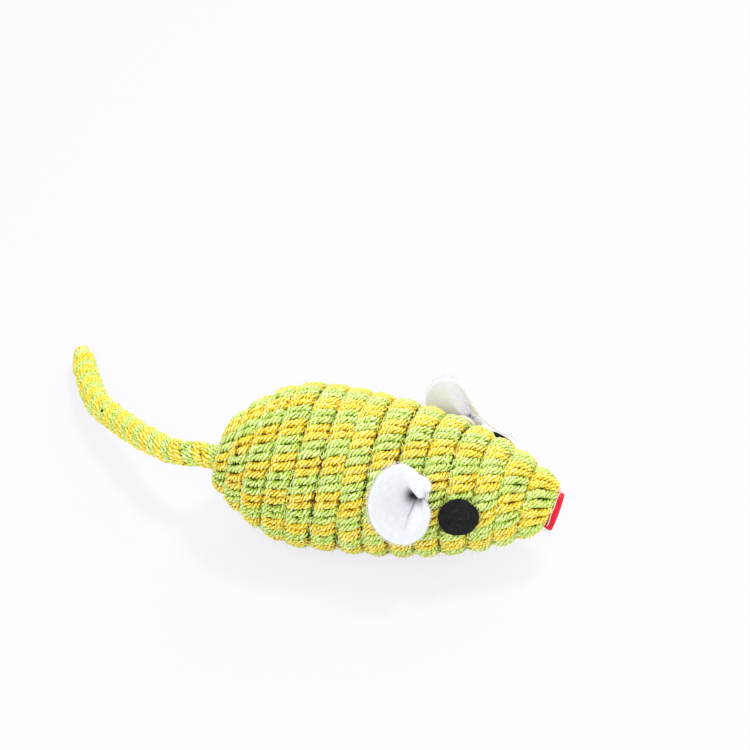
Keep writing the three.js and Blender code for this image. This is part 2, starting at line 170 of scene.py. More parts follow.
# The tail's route, from its first joint to the tip, in the same frame as the outline.
tail = {
    "route": [
        (-4.6, 0, 19.2), (-9.5, 0.8, 18.4), (-14.1, 3.5, 16.5), (-18.1, 6.6, 15.1),
        (-22, 9.9, 13.7), (-25.7, 13.3, 12.3), (-29.4, 16.9, 11), (-33, 20.5, 9.9),
        (-36.7, 24.1, 8.8), (-40.3, 27.8, 7.7), (-43.6, 31.7, 6.7), (-46.5, 36, 5.8),
        (-49, 40.6, 5.1), (-51.3, 45.2, 4.5), (-53.7, 49.9, 4.1), (-55.9, 54.6, 3.9),
        (-57.9, 59.5, 3.7),
    ],
    "rootRadius": 3.25,
    "middleRadius": 3.55,
    "endRadius": 3.3,
    "point": 9,
    "tipRadius": 1.2,
    "start": -4.5,  # mm along the tail, so inside the body
    "cuts": (4.4, 44.2),  # where one piece ends and the next starts
    "bends": ((-2, 4.2), (7.5, 16.5), (46, 58)),  # mm along the tail, two for each piece, about its joint
    "diameter": 6.6,
}


def clamp(value, low=0, high=1):
    return min(max(value, low), high)


def lerp(a, b, share):
    return a + (b - a) * share


def smooth(low, high, value):
    share = clamp((value - low) / (high - low))
    return share * share * (3 - 2 * share)


# How much of an amount there is at a value, when it grows from a start to an end.
def grown(change, value):
    start, end, amount = change
    return amount * smooth(start, end, value)


# 1 after one slope and before the other, 0 outside them.
def within(value, rise, fall):
    return smooth(*rise, value) * smooth(*fall, value)


def waves(rows, value, base=0):
    return sum((size * sin(rate * value + start) for rate, start, size in rows), base)


# A point of a curve from p1 to p2, by the directions in which it leaves and reaches them.
def hermite(p1, p2, leave, reach, t):
    return (p1 * (2 * t ** 3 - 3 * t ** 2 + 1) + leave * (t ** 3 - 2 * t ** 2 + t)
            + p2 * (3 * t ** 2 - 2 * t ** 3) + reach * (t ** 3 - t ** 2))


def outlineAt(x):
    fromRear = clamp(1 - x / body["fattestAt"], 0, body["farthestBack"])
    toNose = max((x - body["fattestAt"]) / (body["length"] - body["fattestAt"]), 0)
    taper = lerp(toNose ** body["taperCurve"], toNose ** body["tipCurve"], body["tipShare"])
    if x < body["fattestAt"]:
        radius = lerp(body["radius"], body["rearRadius"], fromRear ** body["rearCurve"])
    else:
        radius = lerp(body["radius"], body["noseRadius"], taper)
    axis = body["axisHeight"] - body["rearDrop"] * fromRear ** 2 - body["noseDrop"] * toNose ** 2
    fill = body["bellyFill"] * sin(pi * clamp(x / body["length"]))
    lowest = axis - radius - fill + body["restDepth"]
    belly = (lowest + hypot(lowest, body["bellySoftness"])) / 2 - body["restDepth"]
    return radius, axis, axis - belly


def surfaceAt(x, angle):
    radius, axis, depth = outlineAt(x)
    up = sin(angle)
    return Vector((x, -radius * cos(angle), axis + (radius if up > 0 else depth) * up))


def normalAt(x, angle):
    small = 0.001
    along = surfaceAt(x + small, angle) - surfaceAt(x - small, angle)
    around = surfaceAt(x, angle + small) - surfaceAt(x, angle - small)
    return along.cross(around).normalized()


def sampleOutline():
    step, margin = 0.05, 1
    rows = []
    x = -margin
    while x <= body["length"] + margin:
        slope = (outlineAt(x + step)[0] - outlineAt(x - step)[0]) / (2 * step)
        stretch = hypot(1, slope)
        centre = Vector((x + rope["flat"] * slope / stretch, outlineAt(x)[0] - rope["flat"] / stretch))
        run = rows[-1]["run"] + (centre - rows[-1]["centre"]).length if rows else 0
        rows.append({"x": x, "centre": centre, "run": run})
        x += step
    return rows


outline = sampleOutline()
runs = [row["run"] for row in outline]


def runWhere(radius, rows):
    for a, b in zip(rows, rows[1:]):
        if (a["centre"].y - radius) * (b["centre"].y - radius) <= 0:
            return lerp(a["run"], b["run"], (radius - a["centre"].y) / (b["centre"].y - a["centre"].y))


runAtRear = runWhere(rope["rearTurnRadius"], [row for row in outline if row["x"] < body["fattestAt"]])
runAtNose = runWhere(rope["noseTurnRadius"], [row for row in outline if row["x"] > body["fattestAt"]])
turns = round((runAtNose - runAtRear) / rope["pitch"] - rope["lastTurnShare"]) + rope["lastTurnShare"]
pitch = (runAtNose - runAtRear) / turns


def placeOnOutline(run):
    at = clamp(bisect.bisect(runs, run), 1, len(runs) - 1)
    a, b = outline[at - 1], outline[at]
    share = (run - a["run"]) / (b["run"] - a["run"])
    return lerp(a["x"], b["x"], share), lerp(a["centre"].y, b["centre"].y, share)


def swayAt(turn):
    return rope["sway"] * waves(rope["swayWaves"], turn) * within(turn, (0, 1), (turns, turns - 1))


def forwardAt(turn):
    return sum(grown(change, turn) for change in rope["forward"])


# The middle of the rope after so many turns, with the body's normal there.
def ropeAt(turn):
    angle = radians(rope["phase"]) + turn * 2 * pi
    base, radius = placeOnOutline(runAtRear + turn * pitch)
    lean = radians(lerp(*rope["leans"], smooth(*rope["leanFrom"], turn)))
    x = base + radius * sin(angle) * tan(lean) + swayAt(turn) + forwardAt(turn)
    normal = normalAt(x, angle)
    return surfaceAt(x, angle) - normal * rope["halfHeight"], normal


def headingAt(turn):
    small = 0.001
    return (ropeAt(turn + small)[0] - ropeAt(turn - small)[0]).normalized()


def catmullRom(points, steps):
    found = []
    ends = [2 * points[0] - points[1], *points, 2 * points[-1] - points[-2]]
    for p0, p1, p2, p3 in zip(ends, ends[1:], ends[2:], ends[3:]):
        gaps = [(b - a).length ** 0.5 for a, b in ((p0, p1), (p1, p2), (p2, p3))]
        leave = (p1 - p0) / gaps[0] - (p2 - p0) / (gaps[0] + gaps[1]) + (p2 - p1) / gaps[1]
        reach = (p2 - p1) / gaps[1] - (p3 - p1) / (gaps[1] + gaps[2]) + (p3 - p2) / gaps[2]
        leave, reach = leave * gaps[1], reach * gaps[1]
        found += [hermite(p1, p2, leave, reach, step / steps) for step in range(steps)]
    return found + [points[-1]]


def tailRadiusAt(run, length):
    middle = length / 2
    if run < middle:
        swell = lerp(tail["rootRadius"], tail["middleRadius"], run / middle)
    else:
        swell = lerp(tail["middleRadius"], tail["endRadius"], (run - middle) / middle)
    toTip = clamp(1 - (length - run) / tail["point"])
    return lerp(tail["tipRadius"], swell, sqrt(1 - toTip ** 2))


# The rope's whole way from the tip of the tail to the nose, as points a small step apart.
# Each has its outward side, its distances along the rope, the tail and before the first turn, and its turn.
def layRope():
    loopSteps, bendSteps, stubSteps = 4000, 60, 20
    swing = Vector(tail["route"][0])
    loops = [ropeAt(turns * step / loopSteps) for step in range(loopSteps + 1)]
    exitPoint = Vector((loops[0][0].x - rope["rearDive"], 0, outlineAt(0)[1]))
    inner = Vector((loops[-1][0].x - rope["noseDive"], 0, outlineAt(body["length"])[1]))
    ahead = Vector((1, 0, 0))
    first, last = loops[0][0], loops[-1][0]
    rear = interpolate_bezier(
        exitPoint, exitPoint + ahead * rope["rearBend"],
        first - headingAt(0) * rope["rearBend"], first, bendSteps)
    front = interpolate_bezier(
        last, last + headingAt(turns) * rope["noseBend"],
        inner + ahead * rope["noseBend"], inner, bendSteps)
    tailPoints = catmullRom([Vector(point) for point in tail["route"]], bendSteps)[::-1]
    stub = [swing.lerp(exitPoint, step / stubSteps) for step in range(1, stubSteps)]
    points = [*tailPoints, *stub, *rear[:-1], *[loop[0] for loop in loops], *front[1:]]
    sides = [None] * (len(tailPoints) + len(stub) + len(rear) - 1) + [loop[1] for loop in loops]
    onTail, onBody = len(tailPoints), len(sides) - len(loops)
    sides += [None] * (len(points) - len(sides))
    for at in range(onBody - 1, -1, -1):
        sides[at] = squareTo(sides[at + 1], points[at + 1] - points[at])
    for at in range(onBody + len(loops), len(points)):
        sides[at] = squareTo(sides[at - 1], points[at] - points[at - 1])
    gaps = [0]
    for a, b in zip(points, points[1:]):
        gaps.append(gaps[-1] + (b - a).length)
    tailLength = gaps[onTail - 1]
    lastOnBody = onBody + len(loops) - 1
    way = []
    at, run = 1, 0
    while run < gaps[-1]:
        while gaps[at] < run:
            at += 1
        share = (run - gaps[at - 1]) / max(gaps[at] - gaps[at - 1], 1e-9)
        index = at - 1 + share
        way.append({
            "point": points[at - 1].lerp(points[at], share),
            "side": sides[at - 1].lerp(sides[at], share).normalized(),
            "run": run,
            "tailRun": tailLength - run,
            "turn": turns * clamp((index - onBody) / (lastOnBody - onBody)),
            "before": gaps[onBody] - run,
        })
        run += rope["step"]
    return way, tailLength


def squareTo(direction, heading):
    heading = heading.normalized()
    return (direction - heading * direction.dot(heading)).normalized()


way, tailLength = layRope()
print("rope", round(way[-1]["run"]), "mm, tail", round(tailLength, 1), "mm,", round(turns, 2), "turns")


# The rope's run and the yarns' turns at each given phase, as near to an even lead as that allows.
def bandTurns():
    knots = []
    for turn, phase in yarn["phases"]:
        run = next(spot["run"] for spot in way if spot["turn"] >= turn)
        expected = knots[-1][1] + (run - knots[-1][0]) / yarn["lead"] if knots else 0
        knots.append((run, phase + round(expected - phase)))
    return knots


bandKnots = bandTurns()


def bandAt(spot):
    onTail = max(spot["before"], 0)
    run = spot["run"] + onTail
    place = bisect.bisect(bandKnots, (run,))
    if 0 < place < len(bandKnots):
        (r0, b0), (r1, b1) = bandKnots[place - 1:place + 1]
        band = lerp(b0, b1, (run - r0) / (r1 - r0))
    else:
        nearest = bandKnots[0 if place == 0 else -1]
        band = nearest[1] + (run - nearest[0]) / yarn["lead"]
    return band - onTail / yarn["tailLead"]


# Spends only a share of each turn on the outer half of the rope, and the rest behind it.
def outerFirst(turn, share):
    if turn < share:
        return 0.5 * turn / share
    return 0.5 + 0.5 * (turn - share) / (1 - share)


# The angle of a yarn round the rope: which is 0 to 3, in quarter turns.
def yarnAngle(at, which):
    spot = way[at]
    share = lerp(0.5, rope["outerShare"], spot["onBody"])
    start = lerp(yarn["tailStarts"][which], which / 4, spot["onBody"])
    return 2 * pi * outerFirst((spot["band"] + start) % 1, share)


# A point at an angle round the rope and at a depth under its surface, clear of the floor.
def onRope(at, angle, depth):
    spot = way[at]
    heading = (way[min(at + 1, len(way) - 1)]["point"] - way[max(at - 1, 0)]["point"]).normalized()
    up = squareTo(spot["side"], heading)
    across = up.cross(heading)
    onBody = spot["onBody"]
    reach = tailRadiusAt(max(spot["tailRun"], 0), tailLength) - depth * rope["tailDepth"]
    wide = lerp(reach, spot["wide"] + grown(rope["endWiden"], spot["turn"]) - depth, onBody)
    high = lerp(reach, rope["halfHeight"] - depth, onBody)
    boxy = lerp(*rope["boxiness"], smooth(*rope["boxyOver"], spot["turn"]))
    power = 2 / lerp(2, boxy, onBody)
    c, s = cos(angle), sin(angle)
    place = spot["point"] + across * wide * copysign(abs(c) ** power, c)
    place += up * high * copysign(abs(s) ** power, s)
    floor = max(depth, 0) * rope["floorDepth"]
    over = place.z - floor
    place.z = floor + (over + hypot(over, rope["floorSoftness"])) / 2
    return place


# At each place, how far on the yarns' turn is, how much it is winding and how wide the rope lies.
def measureWay():
    for spot in way:
        spot["band"] = bandAt(spot)
        spot["onBody"] = smooth(-rope["changeOver"], rope["changeOver"], -spot["before"])
        turn = clamp(spot["turn"], 1, turns - 1)
        spacing = (ropeAt(turn + 1)[0] - ropeAt(turn - 1)[0]).length / 4
        spot["wide"] = clamp(spacing * rope["spread"], *rope["halfWidth"])


measureWay()
bodyShift = Vector(frame["joints"][0].get("pos_m")) - Vector(tail["route"][0]) * mm


def inFrame(point):
    return Vector(point) * mm + bodyShift


def link(obj):
    bpy.context.scene.collection.objects.link(obj)
    return obj


# A closed outline to sweep along a curve: plies round a yarn, or a plain thread.
def sweepProfile(name, radii):
    data = bpy.data.curves.new(name, "CURVE")
    data.dimensions = "2D"
    spline = data.splines.new("POLY")
    spline.points.add(len(radii) - 1)
    for at, radius in enumerate(radii):
        angle = 2 * pi * at / len(radii)
        spline.points[at].co = (radius * mm * cos(angle), radius * mm * sin(angle), 0, 1)
    spline.use_cyclic_u = True
    return link(bpy.data.objects.new(name, data))


pliedShares = yarn["section"] * yarn["plies"]
pliedProfile = sweepProfile("plied_profile", [share * yarn["radius"] for share in pliedShares])


def meshFrom(bm, name):
    mesh = bpy.data.meshes.new(name)
    bm.to_mesh(mesh)
    bm.free()
    return link(bpy.data.objects.new(name, mesh))


# Sweeps a profile along each path, and returns one mesh object. A path is points, turns of twist and
# thicknesses, and a yarn's also the distance run and the light at each point, for its marks.
def sweepYarns(name, paths, profile, mark=None):
    data = bpy.data.curves.new(name, "CURVE")
    data.dimensions = "3D"
    data.twist_mode = "MINIMUM"
    data.bevel_mode = "OBJECT"
    data.bevel_object = profile
    data.use_fill_caps = True
    for points, tilts, thicks, *_ in paths:
        spline = data.splines.new("POLY")
        spline.points.add(len(points) - 1)
        spline.points.foreach_set("co", [part for point in points for part in (*inFrame(point), 1)])
        spline.points.foreach_set("tilt", tilts)
        spline.points.foreach_set("radius", thicks)
    curve = link(bpy.data.objects.new(name + "_curve", data))
    bpy.context.view_layer.update()
    mesh = bpy.data.meshes.new_from_object(curve.evaluated_get(bpy.context.evaluated_depsgraph_get()))
    mesh.name = name
    bpy.data.objects.remove(curve)
    if mark:
        mark(mesh, paths)
    bm = bmesh.new()
    bm.from_mesh(mesh)
    bmesh.ops.remove_doubles(bm, verts=bm.verts, dist=0.001 * mm)
    for face in bm.faces:
        face.smooth = True
        if len(face.verts) > 4:
            for edge in face.edges:
                edge.smooth = False
    bm.to_mesh(mesh)
    bm.free()
    return link(bpy.data.objects.new(name, mesh))


# Which way is out of the rope, shortened low on the rope to paint shade there, how lit a yarn is painted
# where two turns meet, and how soft its painted shade is.
def lightAt(spot, angle, point):
    height = sin(angle)
    openness = lerp(1, smooth(*yarn["lightFrom"], height), spot["onBody"])
    middle = within(spot["turn"], *yarn["deepShadeTurns"])
    deep = spot["onBody"] * smooth(*yarn["deepFrom"], height) * lerp(*yarn["deep"], middle)
    soft = grown(yarn["tailSoft"], spot["tailRun"]) + grown(yarn["noseSoft"], spot["turn"])
    return (point - spot["point"]).normalized() * openness, 1 - deep, soft


noise.seed_set(yarn["seed"])


# A yarn's path, with every point where it shows and few where it lies under the rope.
def yarnPath(first, last, which):
    points, tilts, thicks, travel, lights = [], [], [], [], []
    run = 0
    before = None
    amount, distance = yarn["wander"]
    uneven, grain = yarn["uneven"]
    swell, rate = yarn["swell"]
    for at in range(last + 1):
        spot = way[at]
        angle = yarnAngle(at, which)
        point = onRope(at, angle, yarn["radius"])
        stray = noise.noise_vector(point / distance + Vector((0, 0, 9 * which)))
        point += stray * amount
        if before is not None:
            run += (point - before).length
        before = point
        shows = sin(angle) > yarn["hidden"] or spot["onBody"] < 1
        if at >= first and (shows or at % yarn["keepEvery"] == 0 or at in (first, last)):
            point.z = max(point.z, yarn["radius"] * yarn["offFloor"])
            points.append(point)
            tilts.append(-2 * pi * run / yarn["twist"] - 0.8 * stray.x)
            change = uneven * noise.noise(point / grain) + swell * sin(run * rate + which)
            thicks.append(lerp(yarn["tailThicks"][which], 1, spot["onBody"]) + change)
            travel.append(run)
            lights.append(lightAt(spot, angle, point))
    return points, tilts, thicks, travel, lights


def indexAtTail(run):
    return min(range(len(way)), key=lambda at: abs(way[at]["tailRun"] - run))


coreProfile = sweepProfile("core_profile", [1] * 8)


# The inside of the rope, painted dark as the shade between its yarns. On the tail it reaches in between
# them.
def corePath(first, last):
    onBody, least, between, every = 1.7, 0.3, 0.5, 5
    points, thicks = [], []
    for spot in way[first:last + 1:every]:
        points.append(spot["point"])
        reach = tailRadiusAt(max(spot["tailRun"], 0), tailLength) - yarn["radius"] * 2 + between
        thicks.append(max(lerp(reach, onBody, spot["onBody"]), least))
    return points, [0] * len(points), thicks


# Shader maths: a wire is one output of a node, and sums and products of wires add Math nodes.
class Wire:
    def __init__(self, finish, socket):
        self.finish, self.socket = finish, socket

    def maths(self, operation, *values):
        return self.finish.node("ShaderNodeMath", {"operation": operation}, dict(enumerate(values)))

    def __add__(self, other):
        return self.maths("ADD", self, other)

    def __sub__(self, other):
        return self.maths("SUBTRACT", self, other)

    def __rsub__(self, other):
        return self.maths("SUBTRACT", other, self)

    def __mul__(self, other):
        return self.maths("MULTIPLY", self, other)

    __radd__ = __add__
    __rmul__ = __mul__


class Finish:
    def __init__(self, name):
        self.material = bpy.data.materials.new(name)
        self.material.use_nodes = True
        self.tree = self.material.node_tree
        self.shader = self.tree.nodes["Principled BSDF"]

    # Adds a node of a type, with its settings, and the values or wires of its sockets.
    def node(self, kind, settings=None, sockets=None, output=0):
        made = self.tree.nodes.new(kind)
        for key, value in (settings or {}).items():
            if key == "stops":
                self.setStops(made.color_ramp, value)
            else:
                setattr(made, key, value)
        for key, value in (sockets or {}).items():
            self.plug(made.inputs[key], value)
        return Wire(self, made.outputs[output])

    def setStops(self, ramp, stops):
        while len(ramp.elements) < len(stops):
            ramp.elements.new(0.5)
        for element, (place, colour) in zip(ramp.elements, stops):
            element.position = place
            element.color = (*colour, 1)

    def plug(self, socket, value):
        if isinstance(value, Wire):
            self.tree.links.new(value.socket, socket)
        else:
            socket.default_value = value

    def set(self, **values):
        for key, value in values.items():
            self.plug(self.shader.inputs[key.replace("_", " ")], value)

    def attribute(self, name, output="Fac"):
        return self.node("ShaderNodeAttribute", {"attribute_name": name}, output=output)

    def place(self, scale=(1, 1, 1), where=None):
        where = where or self.node("ShaderNodeTexCoord", output="Object")
        return self.node("ShaderNodeMapping", sockets={"Vector": where, "Scale": scale})

    def noise(self, size, detail=3, where=None):
        where = where or self.place()
        return self.node("ShaderNodeTexNoise", sockets={
            "Vector": where, "Scale": 1 / size, "Detail": detail, "Roughness": 0.6})

    def bump(self, height, depth, strength):
        return self.node("ShaderNodeBump", sockets={
            "Height": height, "Distance": depth, "Strength": strength})

    def ramp(self, factor, *stops):
        return self.node("ShaderNodeValToRGB", {"stops": stops}, {"Fac": factor})

    def mix(self, factor, a, b):
        return self.node("ShaderNodeMix", {"data_type": "RGBA"}, {0: factor, 6: a, 7: b}, output=2)


def colour(red, green, blue):
    return tuple((part / 255 / 12.92) if part < 10.3 else ((part / 255 + 0.055) / 1.055) ** 2.4
                 for part in (red, green, blue))


# The plies' painted light and shade and three grains decide how light a yarn is, from the deepest painted
# shade to the painted highlights of the crowns.
yarnLook = {
    "yellow": ((34, 22, 0), (146, 92, 0), (238, 194, 8), (253, 237, 60), (255, 254, 196)),
    "green": ((22, 34, 0), (88, 112, 0), (176, 208, 56), (220, 244, 122), (250, 255, 218)),
    "stops": (0, 0.1, 0.3, 0.55, 0.84),
    "base": 0.02,
    "plies": 0.63,
    "threads": 0.45,
    "mottle": 0.5,
    "crinkle": 1.5,
    "threadScale": (6, 6, 0.6),  # fine across the yarn and long along it
    "mottleSize": 1.5,
    "crinkleSize": 0.42,
    "roughness": 0.42,
    "bump": 0.3,
}


def yarnFinish(name):
    look = yarnLook
    finish = Finish("yarn_" + name)
    ply = finish.attribute("ply")
    along = finish.place(look["threadScale"], finish.attribute("fibre", "Vector"))
    threads = finish.noise(1, 3, along)
    mottle = finish.noise(look["mottleSize"] * mm, 3)
    crinkle = finish.noise(look["crinkleSize"] * mm, 2)
    height = ply * look["plies"] + (threads - 0.5) * look["threads"] + (mottle - 0.5) * look["mottle"]
    height = height + (crinkle - 0.5) * look["crinkle"] + look["base"]
    tones = [colour(*tone) for tone in look[name]]
    finish.set(
        Base_Color=finish.ramp(height, *zip(look["stops"], tones)),
        Roughness=look["roughness"] + (mottle - 0.5) * 0.3,
        Normal=finish.bump(threads * 0.5 + crinkle, look["bump"] * mm, 0.9),
        Specular_IOR_Level=0.3,
    )
    return finish.material


# Patches of two tones, of a size in mm.
def patchFinish(name, size, detail, low, high, roughness):
    finish = Finish(name)
    finish.set(Base_Color=finish.ramp(finish.noise(size * mm, detail), low, high), Roughness=roughness)
    return finish.material


def dress(obj, material):
    obj.data.materials.clear()
    obj.data.materials.append(material)
    return obj


# Fastens a piece to the body.
def fasten(obj):
    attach(obj, "body")
    return obj


# Marks each point's painted light and shade, by its ply and by how far it faces out of the rope, and its way
# round and along the yarn for the fibres. Each swept path is followed by the points of its two caps.
def markPlies(mesh, paths):
    corners, period = len(pliedShares), len(yarn["section"])
    around = [2 * pi * corner / corners for corner in range(corners)]
    sides = [(yarn["radius"] * cos(turn), yarn["radius"] * sin(turn)) for turn in around]
    edge = yarn["shadeEdge"]
    paintedLight, fibres = [], []
    vertices = iter(mesh.vertices)
    for points, _, _, travel, lights in paths:
        for point, run, (out, lit, soft) in zip(points, travel, lights):
            middle = inFrame(point)
            for corner, side in enumerate(sides):
                facing = (next(vertices).co - middle).dot(out) / (yarn["radius"] * mm)
                valley = corner % period == period - 1
                crown = yarn["valley"] + soft if valley else 1 - soft / 2
                paintedLight.append(crown * lit * smooth(-edge - soft, edge - soft, facing))
                fibres += [*side, run]
        for run in (travel[0], travel[-1]):
            for side in sides:
                next(vertices)
                paintedLight.append(yarn["endLight"])
                fibres += [*side, run]
    mesh.attributes.new("ply", "FLOAT", "POINT").data.foreach_set("value", paintedLight)
    mesh.attributes.new("fibre", "FLOAT_VECTOR", "POINT").data.foreach_set("vector", fibres)


finishes = {
    "yellow": yarnFinish("yellow"),
    "green": yarnFinish("green"),
    # The rope's core, painted dark as the shade that lies between the yarns.
    "core": patchFinish("rope_core", 0.8, 3, (0.35, colour(26, 24, 6)), (0.7, colour(66, 60, 16)), 0.9),
    "fuzz": patchFinish("yarn_fuzz", 4, 1, (0.4, colour(232, 226, 150)), (0.6, colour(228, 240, 190)), 0.7),
}
wraps = {"yellow": (0, 1), "green": (2, 3)}


def buildYarns(name, first, last, colourName, numbers):
    paths = [yarnPath(first, last, which) for which in numbers]
    return dress(sweepYarns(name, paths, pliedProfile, markPlies), finishes[colourName])


def buildRopeCore(name, first, last):
    return dress(sweepYarns(name, [corePath(first, last)], coreProfile), finishes["core"])


windingFrom = indexAtTail(tail["start"])


def buildBody():
    last = len(way) - 1
    for colourName, numbers in wraps.items():
        for which in numbers:
            name = "body_yarn_" + colourName + "_" + str(which % 2 + 1)
            obj = fasten(buildYarns(name, windingFrom, last, colourName, [which]))
            if which == 0:
                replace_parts(obj, "body_winding")
    fasten(buildRopeCore("body_rope_core", windingFrom, last))


print("body")
buildBody()


def buildTail():
    words = ("root", "middle", "end")
    bodies = ("body", "tail_base", "tail_middle", "tail_tip")
    ends = [tail["start"], *tail["cuts"], tailLength]
    for part, word in enumerate(words):
        high, low = indexAtTail(ends[part]), indexAtTail(ends[part + 1])
        start, end = (inFrame(way[indexAtTail(run)]["point"]) for run in tail["bends"][part])
        made = [buildYarns("tail_" + word + "_" + colourName, low, high, colourName, numbers)
                for colourName, numbers in wraps.items()]
        made.append(buildRopeCore("tail_" + word + "_core", low, high))
        for piece, slot in zip(made, ("yarn_yellow", "yarn_green", "yarn_yellow")):
            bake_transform(piece)
        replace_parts(made[0], bodies[part + 1])
        if part:
            length = ends[part + 1] - ends[part]
            length * mm
            tail["diameter"] * mm


print("tail")
buildTail()


# Strands along the edges of the turns, strands that cross from turn to turn, and fuzz.
loose = {
    "seed": 7,
    "edgeStrands": 260,
    "edgeLength": (1.5, 4.2),
    "edgeAngle": (10, 50),  # degrees up from the rear edge of a turn
    "edgeWander": 22,  # degrees from corner to corner
    "edgeDepth": (-0.12, 0.1),
    "crossings": 300,
    "crossAngles": ((45, 80), 25, 155, (105, 135)),  # the first two on a turn, the last two on its neighbour
    "strandRadius": 0.13,
    "light": 0.85,
    "fuzz": 1300,
    "fuzzLength": (0.6, 2),
    "fuzzRadius": 0.035,
    "fuzzAbove": 0.8,  # mm over the floor
    "curl": 0.55,
    "firstTurn": 2.6,  # before this the turns lie too close for strands between them
    "lastTurn": turns - 0.3,
}

threadProfile = sweepProfile("thread_profile", [1] * 5)
hairProfile = sweepProfile("hair_profile", [1] * 3)
draw = random.Random(loose["seed"])
wayTurns = [spot["turn"] for spot in way]


# A path for sweepYarns through a few points, rounded, thick in the middle and fine at its ends.
def threadPath(corners, radius, steps=4):
    points = catmullRom(corners, steps)
    last = len(points) - 1
    thicks = [radius * (0.35 + 0.65 * sin(pi * at / last) ** 0.5) for at in range(last + 1)]
    return points, [0] * (last + 1), thicks


def anyway(low, high):
    return low + (high - low) * draw.random()


def anyDirection():
    return Vector((anyway(-1, 1), anyway(-1, 1), anyway(-1, 1)))


def nearestYarn(at, angle):
    return min(range(4), key=lambda which: -cos(yarnAngle(at, which) - angle))


def edgeStrand():
    start = bisect.bisect(wayTurns, anyway(loose["firstTurn"], loose["lastTurn"]))
    length = anyway(*loose["edgeLength"])
    count = max(int(length / yarn["radius"]), 3)
    angle = radians(anyway(*loose["edgeAngle"]))
    corners = []
    for step in range(count + 1):
        at = min(start + int(step * length / count / rope["step"]), len(way) - 1)
        angle += radians(anyway(-loose["edgeWander"], loose["edgeWander"]))
        corners.append(onRope(at, angle, anyway(*loose["edgeDepth"])))
    return corners, nearestYarn(start, angle)


def crossingStrand():
    turn = anyway(loose["firstTurn"] + 1, loose["lastTurn"])
    here = bisect.bisect(wayTurns, turn)
    there = bisect.bisect(wayTurns, turn - 1 + anyway(-0.02, 0.02))
    rise = anyway(0.3, 1)
    leave, dip, lift, reach = loose["crossAngles"]
    corners = [onRope(here, radians(anyway(*leave)), 0.1), onRope(here, radians(dip), -0.1)]
    corners.append(onRope(there, radians(lift), -0.1))
    corners.append(onRope(there + int(rise * 12), radians(anyway(*reach)), 0.1))
    return corners, nearestYarn(here, radians(60))


# A hair that grows out of a point in a direction and curls.
def hair(root, direction, length, radius):
    curl = anyDirection() * loose["curl"]
    corners = [root]
    for step in range(3):
        direction = (direction + curl).normalized()
        corners.append(corners[-1] + direction * length / 3)
    return threadPath(corners, radius, 2)


def yarnFuzz(first, last, count):
    paths = []
    for _ in range(count):
        at = draw.randrange(first, last)
        angle = radians(anyway(5, 175)) if way[at]["onBody"] == 1 else anyway(0, 2 * pi)
        root = onRope(at, angle, 0.15)
        outward = (root - way[at]["point"]).normalized()
        along = (way[at + 1]["point"] - way[at]["point"]).normalized()
        direction = outward * anyway(0.2, 1) + along * anyway(-1.2, 1.2)
        length = anyway(*loose["fuzzLength"])
        if (root + outward * length).z > loose["fuzzAbove"]:
            paths.append(hair(root, direction.normalized(), length, loose["fuzzRadius"]))
    return paths


# Marks a thread as all crown, so that it takes the yarn's light colours, painted as lit all along.
def markThreads(mesh, paths):
    paintedLight = [loose["light"]] * len(mesh.vertices)
    mesh.attributes.new("ply", "FLOAT", "POINT").data.foreach_set("value", paintedLight)


def buildLooseYarn():
    paths = {"yellow": [], "green": []}
    for make, count in ((edgeStrand, loose["edgeStrands"]), (crossingStrand, loose["crossings"])):
        for _ in range(count):
            corners, which = make()
            paths["yellow" if which < 2 else "green"].append(threadPath(corners, loose["strandRadius"]))
    for colourName, found in paths.items():
        obj = sweepYarns("loose_strands_" + colourName, found, threadProfile, markThreads)
        fasten(dress(obj, finishes[colourName]))
    fuzz = sweepYarns("body_fuzz", yarnFuzz(windingFrom, len(way) - 8, loose["fuzz"]), hairProfile)
    fasten(dress(fuzz, finishes["fuzz"]))


print("loose yarn")
buildLooseYarn()

# Felt, and where it is glued on, in mm and degrees as in the part's source.
felt = {
    "seat": 0.3,
    "glue": 0.9,
    "leftForward": 5.5,
    "hairLength": (0.3, 1.1),
    "hairRadius": 0.028,
    "hairSpread": 0.8,
    "seam": -70,  # degrees round a sheet where its grid starts and ends
    "ringsOut": 1.25,  # more than 1 lays the rings closer to the middle
}

ear = {
    "at": 54.3,
    "angle": 26.5,
    "length": 14.3,
    "height": 15.5,
    "forward": 2.6,
    "up": 5.9,
    # Degrees round the ear, how far its rim stands off, how hollow it is, its reach and its bulge.
    "shape": [
        (-70, 4.2, 0.8, 1, 0.7), (-5, 2, 0.8, 1.15, 0.7), (18, 1.2, 0.8, 0.62, 0.4),
        (27, 1.4, 0.8, 1.46, 0.4), (60, 3.8, 0.8, 0.96, 0.6), (88, 6, 0.9, 1, 0.9),
        (108, 6.2, 2.3, 1, 0), (136, 5, 2.6, 1, 0), (180, 1.8, 2, 1, 0), (230, 2.2, 1.9, 1, 0),
        (270, 3.5, 1.7, 1, 0.1), (282, 3.9, 1.1, 1, 0.5), (290, 4.2, 0.8, 1, 0.7),
    ],
    "thickness": 1.05,
    "rings": 26,
    "spokes": 150,
    "hinge": (-1, -6),  # mm behind the pinch, about the felt's joint
    "pinch": (0.9, 0.2),  # where the fold starts, ahead of and above the middle of the glue
    "slit": (-1.5, 0.3),  # where it ends
    "shade": (4.4, 2.2),  # how far its painted shade reaches, and how fast it fades
    # Degrees between which the painted shade ends, and how much of it.
    "lit": (((16, 25), (102, 88), 1), ((-60, -20), (27, 10), 0.6)),
    "groove": (281, 9),  # of the pleat: direction and width in degrees
    "grooveDeep": (0.2, (0.02, 0.3), (0.9, 0.45)),  # depth, and where it is on the way out
    # the painted shade along the pleat, and where it is on the way out
    "grooveShade": (0.2, (0.15, 0.35), (0.8, 0.5)),
    "grooveLine": 9,  # how much narrower the painted shade is
    "flat": (18, 21),  # the oval that it was cut to
    "hairs": 640,
    "hairsFrom": (0.1, 1),  # mm up the cut edge
}


